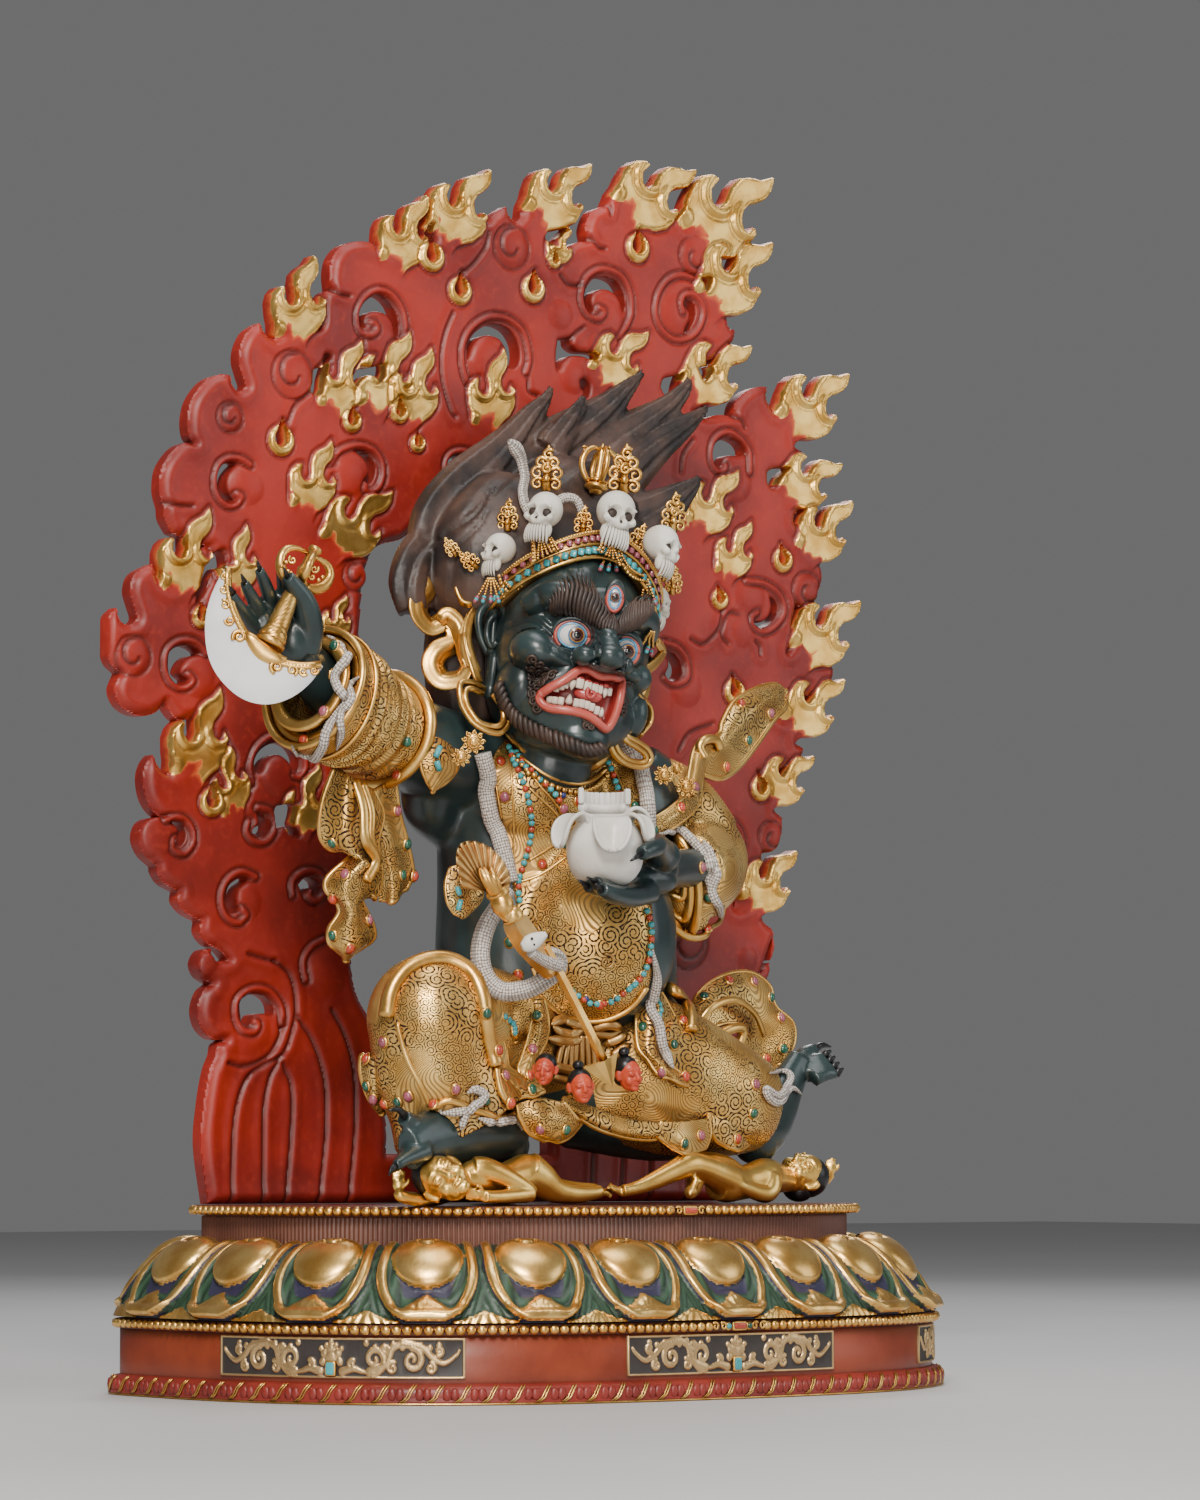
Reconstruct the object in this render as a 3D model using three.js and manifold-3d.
// Wrathful guardian figure in painted and gilt metal, squatting on a lotus plinth
// in front of a flaming aureole. Millimetres, +Z up, front faces -Y.
// The origin is on the underside of the plinth, on the line where its plan is widest.
import * as THREE from "three";
import { mergeVertices } from "three/addons/utils/BufferGeometryUtils.js";
import Module from "manifold-3d";

const wasm = await Module();
wasm.setup();

// driving sizes
const GAP = 0.3; // clear space left between pieces that touch

const PLINTH = {
  halfWidth: 227, // half width of the plan at the deck rim
  frontDepth: 197.6, // depth of the bowed front at the deck rim
  frontPower: 2.6, // squareness of the bowed front
  backDepth: 42, // depth of the flatter back at the deck rim
  backPower: 5, // squareness of the back
  drumTop: 41, // top of the lower drum
  rimTop: 48, // top of the middle bead rim
  petalTop: 92, // top of the lotus petals
  ribTop: 112, // top of the ribbed drum
  deck: 118, // level of the deck
  footOut: 53, // how far the rope border stands outside the deck rim
  drumOut: 46,
  midOut: 51.7,
  ribOut: -6,
};

const PETAL = { pitch: 66, count: 7, ringOut: 29, width: 33, height: 21, bulge: 18, level: 71 };

const PANEL = { half: 82, sideStart: 185, bottom: 18, top: 38, proud: 1.2 };

const AUREOLE = {
  front: 20, // Y of the carved face of the board
  back: 32, // Y of the plain back of the board
  curl: 3.4, // how far spiral bosses stand out
  flame: 2.6, // how far gilt flames stand out
};

const FIGURE_MID = { x: 0, y: -62 }; // axis of the trunk in plan

// Heights above the plinth are written for this deck level and move with the real one.
const CARVED_DECK = 118;
const RISE = PLINTH.deck - CARVED_DECK;

// small tools
const V = (a) => new THREE.Vector3(a[0], a[1], a[2]);

// Closed three.js geometry as a solid that can be joined and cut.
function toSolid(geometry) {
  geometry.deleteAttribute("normal");
  geometry.deleteAttribute("uv");
  const closed = mergeVertices(geometry, 1e-4);
  const vertProperties = new Float32Array(closed.attributes.position.array);
  const triVerts = new Uint32Array(closed.index.array);
  return new wasm.Manifold(new wasm.Mesh({ numProp: 3, vertProperties, triVerts }));
}

function joinAll(parts) {
  return parts.reduce((sum, part) => (sum ? sum.add(part) : part), null);
}

function cutAll(solid, cutters) {
  return cutters.reduce((rest, cutter) => rest.subtract(cutter), solid);
}

// Closed solid through a list of rings that all have the same number of points.
function loftRings(rings) {
  const n = rings[0].length;
  const points = rings.flat();
  const middle = (ring) => [0, 1, 2].map((j) => ring.reduce((sum, p) => sum + p[j], 0) / n);
  const first = points.push(middle(rings[0])) - 1;
  const last = points.push(middle(rings[rings.length - 1])) - 1;
  const top = (rings.length - 1) * n;
  const tris = [];
  for (let i = 0; i < n; i += 1) {
    const j = (i + 1) % n;
    for (let k = 0; k < top; k += n) {
      tris.push(k + i, k + j, k + j + n);
      tris.push(k + i, k + j + n, k + i + n);
    }
    tris.push(first, j, i);
    tris.push(last, top + i, top + j);
  }
  const shell = (order) => {
    const geometry = new THREE.BufferGeometry();
    geometry.setAttribute("position", new THREE.Float32BufferAttribute(points.flat(), 3));
    geometry.setIndex(order);
    return toSolid(geometry);
  };
  const solid = shell(tris);
  return solid.volume() < 0 ? shell(tris.reverse()) : solid;
}

// Swept bar along a smooth path. Each station is [x, y, z, half width, half thickness].
// With a side direction the width lies along it; without one the section just follows the path.
function sweep(stations, { side = null, sides = 6, steps = 0, grow = 0 } = {}) {
  const curve = new THREE.CatmullRomCurve3(stations.map(V), false, "centripetal");
  const count = steps || stations.length;
  const rings = [];
  const pick = (f, j) => {
    const i = Math.min(Math.floor(f), stations.length - 2);
    return THREE.MathUtils.lerp(stations[i][j], stations[i + 1][j], f - i);
  };
  const start = curve.getTangent(0);
  let carried = side ? V(side) : new THREE.Vector3(0, 0, 1);
  if (!side && Math.abs(start.z) > 0.8) {
    carried.set(1, 0, 0);
  }
  for (let k = 0; k <= count; k += 1) {
    const f = (k / count) * (stations.length - 1);
    const u = k / count;
    const centre = curve.getPoint(u);
    const along = curve.getTangent(u);
    const base = side ? V(side) : carried;
    const across = base.clone().addScaledVector(along, -base.dot(along)).normalize();
    carried = across;
    const out = new THREE.Vector3().crossVectors(along, across);
    const wide = pick(f, 3) + grow;
    const thick = (stations[0].length > 4 ? pick(f, 4) : pick(f, 3)) + grow;
    const ring = [];
    for (let i = 0; i < sides; i += 1) {
      const t = ((i + 0.5) / sides) * Math.PI * 2;
      const p = centre.clone();
      p.addScaledVector(across, wide * Math.cos(t)).addScaledVector(out, thick * Math.sin(t));
      ring.push([p.x, p.y, p.z]);
    }
    rings.push(ring);
  }
  return loftRings(rings);
}

// Faceted ellipsoid; the frame gives its own right, forward and up directions.
const WORLD = { right: [1, 0, 0], ahead: [0, 1, 0], up: [0, 0, 1] };

function ball(centre, radii, { around = 8, rows = 4, frame = WORLD, grow = 0 } = {}) {
  const geometry = new THREE.SphereGeometry(1, around, rows);
  const place = new THREE.Matrix4().makeBasis(V(frame.right), V(frame.up), V(frame.ahead).negate());
  place.setPosition(...centre);
  const [r, f, u] = radii.map((value) => value + grow);
  geometry.applyMatrix4(new THREE.Matrix4().makeScale(r, u, f));
  geometry.applyMatrix4(place);
  return toSolid(geometry);
}

// Plate cut along an outline in the XZ plane, standing between two Y levels.
function plateXZ(outline, yFront, yBack) {
  const shape = new THREE.Shape(outline.map((p) => new THREE.Vector2(p[0], p[1])));
  const geometry = new THREE.ExtrudeGeometry(shape, { depth: yBack - yFront, bevelEnabled: false });
  geometry.rotateX(Math.PI / 2);
  geometry.translate(0, yBack, 0);
  return toSolid(geometry);
}

function circleXZ(x, z, r, sides, turn = 0) {
  const out = [];
  for (let i = 0; i < sides; i += 1) {
    const t = (i / sides) * Math.PI * 2 + turn;
    out.push([x + r * Math.cos(t), z + r * Math.sin(t)]);
  }
  return out;
}

// Named mesh of one finished solid, raised with the deck unless told otherwise.
function nodeFrom(name, solid, colour, roughness, metalness, rise = RISE) {
  const got = solid.getMesh();
  const geometry = new THREE.BufferGeometry();
  const xyz = new Float32Array(got.numVert * 3);
  for (let i = 0; i < got.numVert; i += 1) {
    for (let j = 0; j < 3; j += 1) {
      xyz[i * 3 + j] = got.vertProperties[i * got.numProp + j];
    }
  }
  geometry.setAttribute("position", new THREE.BufferAttribute(xyz, 3));
  geometry.setIndex(new THREE.BufferAttribute(new Uint32Array(got.triVerts), 1));
  geometry.computeVertexNormals();
  const material = new THREE.MeshStandardMaterial({ color: colour, roughness, metalness });
  material.flatShading = true;
  const mesh = new THREE.Mesh(geometry, material);
  mesh.name = name;
  mesh.position.z = rise;
  return mesh;
}

// plinth
// Point of the plinth's plan at angle t, standing off from the deck rim.
function planPoint(t, off) {
  const c = Math.cos(t);
  const s = Math.sin(t);
  const back = s > 0;
  const power = back ? PLINTH.backPower : PLINTH.frontPower;
  const depth = back ? PLINTH.backDepth + off / 2 : PLINTH.frontDepth + off;
  const x = (PLINTH.halfWidth + off) * Math.sign(c) * Math.abs(c) ** (2 / power);
  const y = depth * Math.sign(s) * Math.abs(s) ** (2 / power);
  return [x, y];
}

// Walk along the bowed front: place and outward direction at an arc length from the middle.
function frontArc(off) {
  const rows = [];
  const fine = 360;
  let length = 0;
  let last = planPoint(-Math.PI / 2, off);
  for (let i = 0; i <= fine; i += 1) {
    const t = -Math.PI / 2 + (i / fine) * (Math.PI / 2);
    const p = planPoint(t, off);
    length += Math.hypot(p[0] - last[0], p[1] - last[1]);
    rows.push({ length, p });
    last = p;
  }
  return (arc) => {
    const want = Math.abs(arc);
    const sign = arc < 0 ? -1 : 1;
    let i = rows.findIndex((row) => row.length >= want);
    i = i < 1 ? (i < 0 ? rows.length - 1 : 1) : i;
    const a = rows[i - 1];
    const b = rows[i];
    const f = Math.min((want - a.length) / (b.length - a.length || 1), 1);
    const x = a.p[0] + (b.p[0] - a.p[0]) * f;
    const y = a.p[1] + (b.p[1] - a.p[1]) * f;
    const dx = b.p[0] - a.p[0];
    const dy = b.p[1] - a.p[1];
    const d = Math.hypot(dx, dy);
    return { x: sign * x, y, outX: (sign * dy) / d, outY: -dx / d };
  };
}

function plinthAngles() {
  const list = [];
  for (let i = 0; i < 24; i += 1) {
    list.push(-Math.PI + (i / 24) * Math.PI);
  }
  for (let i = 0; i < 8; i += 1) {
    list.push((i / 8) * Math.PI);
  }
  return list;
}

function plinthBody() {
  const p = PLINTH;
  const levels = [
    [p.footOut, 0],
    [p.footOut, 13],
    [p.drumOut, 15.5],
    [p.drumOut, p.drumTop],
    [p.midOut, p.drumTop + 1.5],
    [p.midOut, p.rimTop],
    [p.midOut - 12, p.rimTop + 2],
    [p.midOut - 26, p.petalTop - 10],
    [p.ribOut, p.petalTop],
    [p.ribOut, p.ribTop],
    [0, p.ribTop + 1.5],
    [0, p.deck],
  ];
  const rings = levels.map(([off, z]) => plinthAngles().map((t) => [...planPoint(t, off), z]));
  return loftRings(rings);
}

function lotusPetals() {
  const at = frontArc(PETAL.ringOut);
  const out = [];
  for (let k = -PETAL.count; k <= PETAL.count; k += 1) {
    const spot = at(k * PETAL.pitch);
    const frame = {
      right: [-spot.outY, spot.outX, 0],
      ahead: [-spot.outX, -spot.outY, 0],
      up: [0, 0, 1],
    };
    const centre = [spot.x, spot.y, PETAL.level];
    out.push(ball(centre, [PETAL.width, PETAL.bulge, PETAL.height], { frame, around: 7, rows: 4 }));
  }
  return out;
}

// Thin raised field on the lower drum between two arc lengths.
function drumPanel(from, to) {
  const at = frontArc(PLINTH.drumOut);
  const steps = 5;
  const rings = [];
  for (let i = 0; i <= steps; i += 1) {
    const spot = at(from + ((to - from) * i) / steps);
    const ring = [];
    for (const off of [-4, PANEL.proud]) {
      const x = spot.x + spot.outX * off;
      const y = spot.y + spot.outY * off;
      ring.push([x, y, PANEL.bottom], [x, y, PANEL.top]);
    }
    [ring[1], ring[2], ring[3]] = [ring[2], ring[3], ring[1]];
    rings.push(ring);
  }
  return loftRings(rings);
}

function plinth() {
  const side = PANEL.sideStart;
  const panels = [
    drumPanel(-PANEL.half, PANEL.half),
    drumPanel(side, side + 2 * PANEL.half),
    drumPanel(-side - 2 * PANEL.half, -side),
  ];
  return joinAll([plinthBody(), ...lotusPetals(), ...panels]);
}

// aureole
// Outer and inner edge of the cloud mass, x then height, from the left foot over the top.
const CLOUD_OUTER = [
  [-214, CARVED_DECK + GAP], [-213, 205], [-199, 216], [-205, 262], [-215, 284], [-229, 315],
  [-245, 345], [-243, 400], [-241, 432], [-259, 456], [-261, 482], [-243, 508], [-237, 560],
  [-231, 588], [-215, 612], [-197, 640], [-181, 666], [-158, 690], [-127, 704], [-115, 730],
  [-89, 742], [-51, 742], [-23, 756], [11, 765], [19, 786], [45, 794], [67, 778], [84, 762], [96, 792],
  [118, 812], [140, 802], [182, 802], [204, 782], [212, 752], [212, 722], [196, 690], [170, 676],
  [176, 660], [205, 668], [232, 690], [252, 676], [262, 650], [264, 606], [280, 576], [292, 545],
  [278, 530], [268, 508], [278, 480], [270, 440], [258, 402], [256, 372], [246, 345], [252, 300],
  [247, 275], [222, 226], [203, 160], [202, CARVED_DECK + GAP],
];
const CLOUD_INNER = [
  [55, 150], [-77, 150], [-77, 170], [-87, 229], [-104, 264], [-106, 340],
  [-102, 430], [-98, 515], [-88, 546], [-64, 556], [-44, 577], [-14, 594], [20, 598], [52, 584],
  [74, 556], [84, 500], [86, 340], [82, 264], [66, 229], [56, 170],
];

// Rounded lobes of cloud: x, height, radius.
const LOBES = [
  [-208, 624, 20], [-104, 733, 17], [-117, 698, 14], [-235, 582, 17], [-237, 556, 14], [-73, 567, 15],
  [-55, 580, 13], [-33, 618, 20], [115, 807, 18], [95, 778, 12], [75, 760, 14], [67, 718, 17],
  [89, 707, 13], [195, 636, 32], [238, 676, 20], [218, 511, 15], [249, 507, 15], [164, 484, 26],
  [-268, 467, 18], [-266, 438, 17], [-235, 438, 15], [-228, 329, 20], [-222, 307, 16], [-195, 289, 18],
  [-151, 320, 17], [-206, 238, 13], [-212, 269, 9], [226, 676, 16], [35, 768, 22], [-249, 349, 18],
  [-245, 400, 15], [280, 544, 17], [262, 640, 16], [190, 742, 26], [-185, 266, 20], [-257, 486, 15],
];

// Spiral bosses set beside pierced holes: x, height, radius, hole x, hole height, hole radius.
const CURLS = [
  [-89, 687, 15, -87, 700, 19], [-189, 578, 14, -203, 586, 14], [-110, 584, 17, -92, 596, 13],
  [0, 678, 19, 9, 698, 29], [100, 722, 18, 100, 738, 21], [169, 730, 20, 178, 741, 15],
  [227, 536, 18, 242, 524, 13], [-227, 452, 14, -240, 461, 13], [-162, 391, 18, -170, 408, 20],
  [-177, 366, 13, -178, 352, 11], [-189, 309, 13, -199, 317, 12], [-124, 266, 16, -134, 281, 12],
  [-184, 222, 20, -179, 240, 16], [206, 627, 12, 212, 640, 13], [242, 374, 11, 232, 362, 9],
  [200, 376, 14, 215, 368, 11], [-22, 600, 8, -22, 609, 10], [-162, 612, 7, -142, 324, 8],
];

// Bosses with no hole: x, height, radius.
const BOSSES = [
  [-154, 654, 16], [182, 769, 13], [20, 762, 14], [78, 676, 16], [171, 293, 20],
];

// Gilt flames: tip x, tip height, body x, body height.
const FLAMES = [
  [3, 811, -27, 773], [-48, 787, -70, 750], [-137, 735, -149, 698], [-101, 683, -116, 662],
  [-62, 691, -78, 647], [-44, 683, -53, 640], [14, 690, 7, 651], [-124, 615, -138, 584],
  [-76, 587, -104, 558], [-218, 563, -233, 529], [-190, 554, -200, 535], [-111, 513, -118, 490],
  [-210, 448, -231, 409], [-203, 410, -200, 384], [-136, 403, -144, 376], [90, 826, 67, 796],
  [52, 812, 46, 790], [182, 833, 142, 800], [252, 836, 213, 796], [251, 790, 222, 756],
  [232, 714, 198, 687], [138, 713, 118, 689], [320, 702, 276, 676], [314, 639, 276, 616],
  [323, 613, 289, 582], [330, 541, 298, 513], [216, 623, 193, 596], [230, 591, 211, 562],
  [314, 479, 284, 458], [287, 428, 262, 404], [271, 361, 244, 331], [72, 780, 60, 758],
];

// Shape of one flame. The axis runs from the body (0, 0) to the tip (0, 1).
const FLAME_SHAPE = [
  [0.4, -0.66], [0.3, -0.04], [0.36, 0.14], [0.16, 0.28], [0.15, 0.72], [0.0, 1.0],
  [-0.12, 0.56], [-0.18, 0.14], [-0.3, 0.3], [-0.4, -0.2], [-0.36, -0.66],
];

function flameOutline([tipX, tipZ, x, z]) {
  const ax = tipX - x;
  const az = tipZ - z;
  return FLAME_SHAPE.map(([u, v]) => [x + u * az + v * ax, z - u * ax + v * az]);
}

function aureole() {
  const a = AUREOLE;
  const board = plateXZ(CLOUD_OUTER, a.front, a.back);
  const middle = plateXZ(CLOUD_INNER, a.front - 9, a.back + 9);
  const lobes = LOBES.map(([x, z, r]) => plateXZ(circleXZ(x, z, r, 9, x), a.front, a.back));
  const holes = CURLS.map((c) => plateXZ(circleXZ(c[3], c[4], c[5], 8), a.front - 9, a.back + 9));
  const bosses = [...CURLS, ...BOSSES].map((c) => {
    return plateXZ(circleXZ(c[0], c[1], c[2], 7, 0.3), a.front - a.curl, a.back);
  });
  const flames = FLAMES.map((f) => plateXZ(flameOutline(f), a.front - a.flame, a.back));
  const cloud = cutAll(joinAll([cutAll(board, [middle]), ...lobes]), holes);
  return joinAll([cloud, ...bosses, ...flames]);
}

// figure
// The head is turned a little to the viewer's left and rolled to the other side.
const HEAD = { x: -20, y: -97, z: 468, yaw: 13, roll: 11, wide: 53, deep: 57, tall: 76 };

function headFrame() {
  const yaw = -HEAD.yaw * THREE.MathUtils.DEG2RAD;
  const roll = HEAD.roll * THREE.MathUtils.DEG2RAD;
  const turn = new THREE.Matrix4().makeRotationZ(yaw);
  turn.multiply(new THREE.Matrix4().makeRotationY(roll));
  const right = new THREE.Vector3();
  const back = new THREE.Vector3();
  const up = new THREE.Vector3();
  turn.extractBasis(right, back, up);
  return { right: right.toArray(), ahead: back.toArray(), up: up.toArray() };
}

const HEAD_FRAME = headFrame();

// Place given in the head's own right, forward and up directions.
function onHead(r, f, u) {
  const p = new THREE.Vector3(HEAD.x, HEAD.y, HEAD.z);
  p.addScaledVector(V(HEAD_FRAME.right), r);
  p.addScaledVector(V(HEAD_FRAME.ahead), -f);
  p.addScaledVector(V(HEAD_FRAME.up), u);
  return p.toArray();
}

function trunk() {
  const { x, y } = FIGURE_MID;
  const sections = [
    [x + 2, y + 4, 172, 52, 40],
    [x + 4, y, 200, 86, 55],
    [x - 2, y - 2, 262, 91, 62],
    [x - 2, y, 320, 88, 60],
    [x, y + 3, 380, 90, 51],
    [x - 1, y + 2, 404, 78, 44],
    [x - 4, y - 8, 418, 46, 38],
    [x - 8, y - 18, 440, 36, 36],
  ];
  const around = 10;
  const rings = sections.map(([cx, cy, z, rx, ry]) => {
    return Array.from({ length: around }, (_, i) => {
      const t = (i / around) * Math.PI * 2;
      return [cx + rx * Math.cos(t), cy + ry * Math.sin(t), z];
    });
  });
  const belly = ball([-2, -100, 290], [58, 54, 66], { around: 10, rows: 6 });
  return [loftRings(rings), belly];
}

// Hidden foot under the seat that carries the weight down to the deck.
function seatFoot() {
  const low = [-40, -42, CARVED_DECK + GAP, 17, 15];
  return [sweep([low, [-34, -50, 200, 22, 20]], { side: [1, 0, 0], steps: 1 })];
}

function head() {
  const frame = HEAD_FRAME;
  const { wide, deep, tall } = HEAD;
  const brow = (s) => sweep(
    [[...onHead(s * 42, 30, 24), 6], [...onHead(s * 24, 48, 34), 8], [...onHead(s * 3, 54, 20), 6]],
    { sides: 4, steps: 2 },
  );
  const beard = [-1, -0.6, 0, 0.6, 1].map((s) => {
    return [...onHead(s * 45, 56 - 36 * s * s, -64 + 36 * s * s), 7];
  });
  return [
    ball([HEAD.x, HEAD.y, HEAD.z], [wide, deep, tall], { frame, around: 10, rows: 6 }),
    ball(onHead(0, 20, -38), [45, 42, 32], { frame }),
    ball(onHead(0, 56, 0), [17, 15, 15], { frame, around: 6, rows: 4 }),
    ball(onHead(0, 56, -34), [28, 12, 16], { frame, around: 7, rows: 4 }),
    ball(onHead(-24, 43, 14), [12, 12, 11], { frame, around: 6, rows: 4 }),
    ball(onHead(24, 43, 14), [12, 12, 11], { frame, around: 6, rows: 4 }),
    brow(-1),
    brow(1),
    ball(onHead(-52, 4, 2), [7, 9, 18], { frame, around: 6, rows: 4 }),
    ball(onHead(52, 4, 2), [7, 9, 18], { frame, around: 6, rows: 4 }),
    sweep(beard, { sides: 4, steps: 4 }),
  ];
}

// Thick locks swept up from the back of the head: root, bend and tip.
const LOCKS = [
  [[-58, -46, 520], [-30, -26, 600], [22, -30, 658]],
  [[-40, -36, 545], [10, -20, 620], [50, -26, 654]],
  [[-10, -44, 560], [48, -28, 622], [95, -32, 674]],
  [[20, -50, 550], [80, -32, 620], [138, -34, 676]],
  [[30, -40, 540], [96, -26, 606], [151, -30, 658]],
  [[30, -34, 520], [90, -30, 558], [129, -50, 600]],
];

function hair() {
  const mass = [
    ball([-30, -52, 530], [68, 54, 66], { around: 8, rows: 5 }),
    ball([18, -46, 562], [62, 40, 50]),
  ];
  const locks = LOCKS.map(([root, bend, tip], i) => {
    const wide = 30 - (i % 3) * 3;
    return sweep([[...root, wide, wide * 0.7], [...bend, wide * 0.8, wide * 0.55], [...tip, 2, 2]], {
      side: [0, 1, 0],
      sides: 5,
      steps: 3,
    });
  });
  return [...mass, ...locks];
}

function rightArm() {
  const limb = [
    [-62, -58, 396, 34], [-104, -66, 404, 32], [-205, -104, 434, 20], [-264, -133, 462, 12],
  ];
  const sleeve = [[-122, -70, 406, 40, 38], [-160, -84, 417, 39, 36], [-226, -116, 434, 40, 34]];
  const flap = [
    [-124, -78, 446, 20, 5], [-118, -84, 410, 22, 6], [-124, -82, 370, 24, 6],
    [-134, -76, 326, 18, 5],
  ];
  const tail = [
    [-176, -88, 404, 26, 8], [-170, -82, 360, 30, 8], [-176, -78, 312, 26, 7],
    [-176, -80, 276, 14, 5],
  ];
  return [
    sweep(limb, { sides: 8, steps: 4 }),
    sweep(sleeve, { side: [0.36, 0.1, 0.62], sides: 10, steps: 3 }),
    sweep(flap, { side: [1, -0.5, 0.2], steps: 4 }),
    sweep(tail, { side: [1, -0.4, 0], steps: 5 }),
    sweep([[-132, -76, 420, 24, 22], [-146, -76, 370, 24, 14], [-152, -78, 326, 18, 8]], {
      side: [1, -0.4, 0],
      steps: 3,
    }),
  ];
}

function fingers(list, root, tip) {
  return list.map(([a, b, c]) => {
    return sweep([[...a, root], [...b, (root + tip) / 2], [...c, tip]], { sides: 5, steps: 2 });
  });
}

// Fingers curl up behind the grip of the chopper.
function rightHand() {
  return [
    ball([-266, -133, 468], [21, 11, 23]),
    ...fingers(
      [
        [[-262, -134, 478], [-272, -140, 500], [-268, -144, 516]],
        [[-270, -134, 478], [-286, -140, 498], [-286, -144, 512]],
        [[-276, -134, 474], [-298, -138, 490], [-300, -142, 502]],
        [[-278, -132, 466], [-304, -134, 478], [-311, -138, 490]],
        [[-250, -132, 464], [-244, -142, 488], [-252, -150, 504]],
      ],
      6.5,
      3,
    ),
  ];
}

function leftArm() {
  return [
    sweep([[58, -60, 392, 34], [98, -76, 352, 32]], { side: [0, 1, 0], sides: 8, steps: 1 }),
    ball([100, -82, 342], [36, 34, 38]),
    sweep([[104, -80, 342, 36, 30], [62, -118, 328, 32, 28]], { side: [0, 0, 1], sides: 8, steps: 1 }),
    sweep([[80, -100, 332, 16], [16, -146, 325, 12]], { side: [0, 0, 1], sides: 7, steps: 1 }),
    sweep([[74, -104, 310, 16, 8], [92, -96, 258, 12, 6]], { side: [1, -0.4, 0], steps: 1 }),
  ];
}

// The open palm carries the skull cup, with the thumb over its side.
function leftHand() {
  return [
    ball([4, -152, 322], [30, 14, 13]),
    ...fingers(
      [
        [[-10, -160, 318], [-36, -176, 311], [-68, -192, 315]],
        [[-8, -164, 316], [-37, -184, 308], [-74, -203, 311]],
        [[-6, -156, 320], [-30, -166, 313], [-66, -181, 314]],
      ],
      8,
      3,
    ),
    sweep(
      [[12, -158, 338, 9], [-14, -184, 343.5, 6.5], [-28, -199, 341, 5], [-47, -204, 335, 3]],
      { sides: 5, steps: 3 },
    ),
  ];
}

function rightLeg() {
  return [
    sweep(
      [[-30, -62, 214, 46, 44], [-146, -126, 232, 40, 38]],
      { side: [0, 0, 1], sides: 8, steps: 1 },
    ),
    ball([-150, -130, 232], [42, 40, 42], { around: 9, rows: 5 }),
    sweep(
      [[-150, -130, 236, 40, 38], [-148, -130, 200, 42, 36], [-146, -132, 176, 47, 36]],
      { side: [1, -0.3, 0], sides: 8, steps: 2 },
    ),
    sweep(
      [[-168, -112, 248, 10, 6], [-174, -108, 208, 15, 7], [-172, -106, 178, 17, 5]],
      { side: [1, -0.5, 0], steps: 3 },
    ),
  ];
}

function rightFoot() {
  return [
    sweep(
      [
        [-92, -124, 160, 19, 17], [-130, -136, 160, 20, 15], [-168, -150, 158, 20, 14],
        [-204, -164, 154, 12, 6],
      ],
      { side: [0, 0, 1], sides: 7, steps: 3 },
    ),
    sweep(
      [[-172, -152, 164, 9], [-190, -160, 170, 7.5], [-198, -164, 180, 2.4]],
      { sides: 5, steps: 2 },
    ),
  ];
}

function leftLeg() {
  return [
    sweep(
      [
        [14, -70, 210, 58, 50], [56, -104, 196, 50, 44], [96, -112, 186, 40, 36],
        [132, -106, 182, 31, 27],
      ],
      { side: [0, 0, 1], sides: 8, steps: 3 },
    ),
    sweep(
      [
        [116, -108, 176, 20, 18], [134, -104, 168, 19, 17], [150, -98, 178, 17, 14],
        [168, -92, 196, 14, 11], [184, -88, 214, 10, 8],
      ],
      { side: [0.6, 0, -0.6], sides: 6, steps: 4 },
    ),
    ball([134, -105, 160], [16, 15, 15]),
    sweep([[180, -88, 208, 7], [198, -84, 218, 5.5], [216, -80, 220, 2]], { sides: 5, steps: 2 }),
  ];
}

function drapery() {
  const scarf = [
    [84, -66, 232, 12, 8], [118, -58, 256, 16, 8], [156, -52, 266, 17, 8],
    [188, -52, 256, 19, 8], [196, -58, 226, 16, 7], [190, -62, 208, 9, 5],
  ];
  const ribbon = [
    [36, -104, 398, 9, 6], [66, -104, 384, 12, 6], [98, -78, 418, 13, 6], [140, -60, 438, 14, 6],
    [180, -50, 456, 12, 5], [204, -46, 460, 9, 4],
  ];
  const curl = [
    [-88, -46, 536], [-104, -42, 508], [-76, -50, 492], [-98, -52, 466], [-70, -58, 452],
    [-60, -80, 408],
  ];
  return [
    // apron between the knees, with its hem hanging clear of the bodies below
    sweep(
      [[-52, -112, 236, 20, 9], [-46, -136, 204, 34, 10], [-42, -156, 152, 38, 5]],
      { side: [1, -0.3, 0], steps: 3 },
    ),
    sweep(
      [[30, -124, 206, 40, 10], [34, -146, 178, 46, 9], [40, -148, 152, 40, 5]],
      { side: [1, 0.2, 0], steps: 3 },
    ),
    // panels falling from the waist
    sweep(
      [[-62, -112, 262, 12, 6], [-82, -132, 236, 17, 6], [-92, -158, 178, 14, 5]],
      { side: [1, -0.4, 0], steps: 3 },
    ),
    sweep(
      [[50, -112, 262, 12, 6], [54, -128, 236, 16, 6], [66, -134, 212, 13, 5]],
      { side: [1, 0.1, 0], steps: 3 },
    ),
    sweep(scarf, { side: [0.5, 0, 1], sides: 5, steps: 7 }),
    sweep(ribbon, { side: [0.5, 0, -1], sides: 5, steps: 6 }),
    sweep(curl.map((p) => [...p, 7]), { sides: 4, steps: 7 }),
    sweep(
      [[40, -104, 470, 7], [52, -100, 440, 8], [38, -110, 416, 8], [58, -110, 396, 8]],
      { sides: 5, steps: 4 },
    ),
  ];
}

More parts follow.
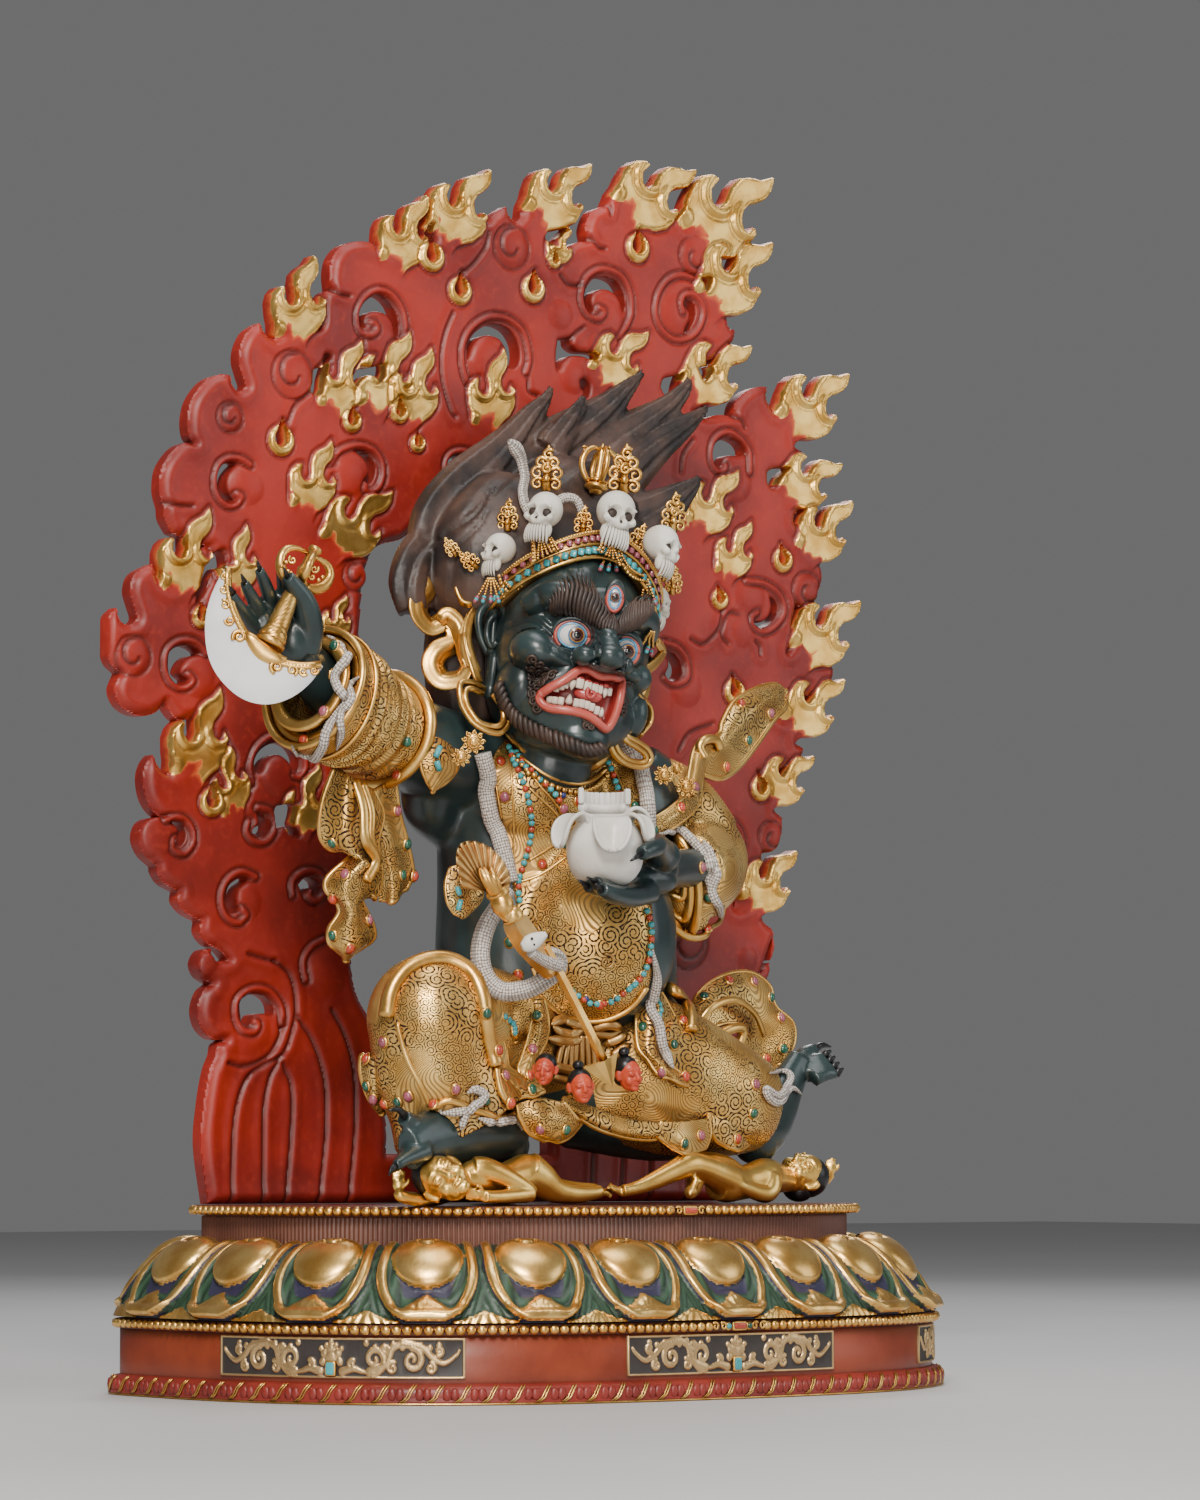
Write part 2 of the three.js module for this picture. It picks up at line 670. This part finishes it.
// Row of small heads on the apron and a snake looped round the waist.
function belt() {
  const heads = [[-72, -172, 190], [-34, -168, 200], [-104, -160, 206]];
  return [
    ...heads.map(([x, y, z]) => ball([x, y, z + 3], [11, 12, 17], { around: 7 })),
    sweep(
      [
        [-110, -138, 208, 12, 10], [-72, -156, 198, 12, 11], [-34, -154, 200, 12, 11],
        [-2, -142, 206, 12, 10],
      ],
      { steps: 4 },
    ),
    sweep(
      [
        [-90, -100, 292, 7], [-132, -112, 296, 6.5], [-150, -134, 274, 6.5], [-130, -158, 252, 6.5],
        [-84, -142, 262, 6],
      ],
      { sides: 5, steps: 7 },
    ),
  ];
}

function figureSolid() {
  const parts = [
    ...trunk(), ...seatFoot(), ...head(), ...hair(), ...rightArm(), ...rightHand(), ...leftArm(),
    ...leftHand(), ...rightLeg(), ...rightFoot(), ...leftLeg(), ...drapery(), ...belt(),
  ];
  return joinAll(parts);
}

// crown of five skulls
// Skulls stand round a tilted band: angle from the middle of the brow, and size.
const SKULLS = [[-80, 0.86], [-48, 1], [-2, 1.12], [42, 1], [80, 0.86]];

// Point of the crown band at an angle from the brow, moved outward and upward.
function bandPoint(degrees, out, lift) {
  const t = degrees * THREE.MathUtils.DEG2RAD;
  const u = 24 + 40 * Math.cos(t);
  const k = Math.sqrt(1 - (u / HEAD.tall) ** 2);
  const r = (HEAD.wide * k + 2 + out) * Math.sin(t);
  const f = (HEAD.deep * k + 2 + out) * Math.cos(t);
  return onHead(r, f, u + lift);
}

function crown(grow) {
  const frame = HEAD_FRAME;
  const band = [];
  for (let a = -100; a <= 100; a += 20) {
    band.push([...bandPoint(a, 0, 0), 6, 5]);
  }
  const parts = [sweep(band, { side: frame.up, sides: 4, steps: 18, grow })];
  for (const [angle, size] of SKULLS) {
    parts.push(ball(bandPoint(angle, 9, 22), [12 * size, 13 * size, 13 * size], { frame, around: 7, grow }));
    const jaw = [8 * size, 9 * size, 10 * size];
    parts.push(ball(bandPoint(angle, 8, 8), jaw, { frame, around: 5, rows: 3, grow }));
    const leaf = [
      [...bandPoint(angle, 7, 30), 6, 4], [...bandPoint(angle, 6, 44), 8, 4],
      [...bandPoint(angle, 5, 58), 2.5, 2],
    ];
    parts.push(sweep(leaf, { side: frame.right, sides: 4, steps: 2, grow }));
  }
  return joinAll(parts);
}

// implements
// Crescent blade hung from a grip that crosses the palm.
const CHOPPER = { hub: [-284, -158, 470], swing: 50, reach: 54, thick: 2.4 };

function chopper(grow) {
  const { hub, swing, reach, thick } = CHOPPER;
  const across = V([0.86, -0.5, 0]).normalize();
  const normal = V([-across.y, across.x, 0]);
  const rings = [];
  const steps = 10;
  for (let i = 0; i <= steps; i += 1) {
    const f = i / steps;
    const angle = ((-swing - 163 + 173 * f) * Math.PI) / 180;
    const inner = 20 + 31 * Math.abs(2 * f - 1) ** 1.6 - grow;
    const ring = [[inner, -1], [reach + grow, -1], [reach + grow, 1], [inner, 1]].map(([r, s]) => {
      const p = V(hub).addScaledVector(across, r * Math.cos(angle));
      p.addScaledVector(normal, s * (thick + grow));
      return [p.x, p.y, p.z + r * Math.sin(angle)];
    });
    rings.push(ring);
  }
  const grip = [
    [-300, -152, 448, 11], [-290, -152, 458, 8], [-272, -152, 484, 5.5], [-262, -152, 500, 5],
  ];
  const crossing = [[-262, -152, 498, 6], [-252, -152, 512, 9], [-244, -150, 526, 3]];
  return joinAll([
    loftRings(rings),
    sweep(grip, { sides: 6, steps: 3, grow }),
    sweep(crossing, { sides: 5, steps: 2, grow }),
  ]);
}

// Cup in the lifted left hand: a round bowl, open at the top, with three curled flaps.
const CUP = { x: -48.5, y: -175, mouth: 373, wall: 4.5, depth: 32, hollow: 16, sides: 9 };

function lathed(profile, sides) {
  const points = profile.map(([r, z]) => new THREE.Vector2(r, z));
  const shape = new THREE.LatheGeometry(points, sides);
  shape.rotateX(Math.PI / 2);
  shape.translate(CUP.x, CUP.y, 0);
  return toSolid(shape);
}

// Outside of the cup with its flaps, filled.
function cupOutside(grow) {
  const rim = CUP.hollow + CUP.wall;
  const outer = [
    [0, 316], [11, 316], [18.5, 321], [23.5, 330], [24.5, 342], [22.5, 353], [20, 364],
    [rim, CUP.mouth],
    [0, CUP.mouth],
  ];
  const bowl = lathed(outer.map(([r, z]) => [r ? r + grow : 0, z]), CUP.sides);
  const flaps = [-3.05, -2.23, -1.05].map((t) => {
    const p = (r, z, w, h) => [CUP.x + r * Math.cos(t), CUP.y + r * Math.sin(t), z, w, h];
    const side = [-Math.sin(t), Math.cos(t), 0];
    return sweep([p(17, 362, 10, 4), p(26, 364, 11, 4), p(31, 347, 7, 3)], { side, sides: 5, steps: 3, grow });
  });
  return joinAll([bowl, ...flaps]);
}

function skullCup() {
  const floor = CUP.mouth - CUP.depth;
  const over = CUP.mouth + 1;
  const inside = [
    [0, floor], [CUP.hollow * 0.8, floor], [CUP.hollow, floor + 8], [CUP.hollow, over], [0, over],
  ];
  return cupOutside(0).subtract(lathed(inside, CUP.sides));
}

function club(grow) {
  return joinAll([
    sweep(
      [[-146, -176, 346, 16, 4], [-136, -180, 330, 22, 5], [-128, -183, 316, 8, 5]],
      { side: [0.8, -0.3, 0.5], sides: 7, steps: 4, grow },
    ),
    sweep(
      [[-130, -182, 320, 8], [-116, -188, 296, 9], [-104, -193, 276, 4.5], [-80, -206, 214, 4]],
      { sides: 8, steps: 6, grow },
    ),
    sweep(
      [[-82, -206, 220, 5, 5], [-78, -208, 208, 13, 8], [-72, -212, 190, 2, 2]],
      { side: [1, 0, 0.3], sides: 6, steps: 3, grow },
    ),
  ]);
}

// bodies under the feet
// Lying figure described in shares of its length, head first.
function lyingBody({ head: from, feet: to, lift, knee }, grow) {
  const axis = V(to).sub(V(from));
  const long = axis.length();
  const a = axis.clone().normalize();
  const s = new THREE.Vector3(-a.y, a.x, 0);
  const place = (along, side, up) => {
    const p = V(from).addScaledVector(a, along * long).addScaledVector(s, side * long);
    return [p.x, p.y, from[2] + (to[2] - from[2]) * along + up * long];
  };
  const limb = (list, sides = 5) => sweep(list, { side: [0, 0, 1], sides, steps: list.length, grow });
  return joinAll([
    ball(place(0, 0.01, lift), [16, 14, 13], { grow }),
    limb(
      [
        [...place(0.06, 0, 0), 7], [...place(0.2, 0, 0), 12],
        [...place(0.36, 0, -0.01), 10.5], [...place(0.5, 0, 0), 12],
      ],
      6,
    ),
    limb([[...place(0.48, 0.04, 0), 9], [...place(0.72, 0.07, knee), 7], [...place(1, 0.04, 0), 5]]),
    limb([[...place(0.48, -0.04, 0), 9], [...place(0.72, -0.06, 0), 7], [...place(0.98, -0.04, 0), 5]]),
    limb([[...place(0.17, 0.07, 0), 6], [...place(0.34, 0.11, -0.01), 5], [...place(0.22, 0.12, -0.03), 4]]),
    limb([
      [...place(0.16, -0.07, 0), 6], [...place(0.02, -0.12, -0.02), 5],
      [...place(-0.14, -0.06, -0.01), 4.5],
    ]),
  ]);
}

const LYING_LEFT = { head: [-152, -158, 131], feet: [-30, -146, 125], lift: 0.01, knee: 0.04 };
const LYING_RIGHT = { head: [170, -112, 131], feet: [-8, -154, 125], lift: 0.015, knee: 0.07 };

function onDeck(solid) {
  const floor = CARVED_DECK + GAP;
  const wide = PLINTH.halfWidth * 2;
  const under = sweep(
    [[0, -60, floor - 40, wide, wide], [0, -60, floor, wide, wide]],
    { side: [1, 0, 0], sides: 4, steps: 1 },
  );
  return solid.subtract(under);
}

// assembly
function build() {
  const leftBody = onDeck(lyingBody(LYING_LEFT, 0));
  const rightBody = onDeck(lyingBody(LYING_RIGHT, 0));
  const figure = cutAll(onDeck(figureSolid()), [
    crown(GAP), chopper(GAP), cupOutside(GAP), club(GAP),
    lyingBody(LYING_LEFT, GAP), lyingBody(LYING_RIGHT, GAP),
  ]);
  const group = new THREE.Group();
  group.name = "guardian_figure";
  group.add(nodeFrom("plinth", plinth(), 0xa8451f, 0.5, 0.2, 0));
  group.add(nodeFrom("aureole", aureole(), 0xb1231c, 0.45, 0.1));
  group.add(nodeFrom("figure", figure, 0xb98a3c, 0.4, 0.6));
  group.add(nodeFrom("crown", crown(0), 0xd9b66a, 0.4, 0.5));
  group.add(nodeFrom("chopper", chopper(0), 0xe8e6e0, 0.4, 0.1));
  group.add(nodeFrom("skull_cup", skullCup(), 0xeceae4, 0.45, 0));
  group.add(nodeFrom("club", club(0), 0xc99a45, 0.35, 0.8));
  group.add(nodeFrom("lying_left", leftBody, 0xd7a03c, 0.3, 0.9));
  group.add(nodeFrom("lying_right", rightBody, 0xd7a03c, 0.3, 0.9));
  return group;
}

export default build();
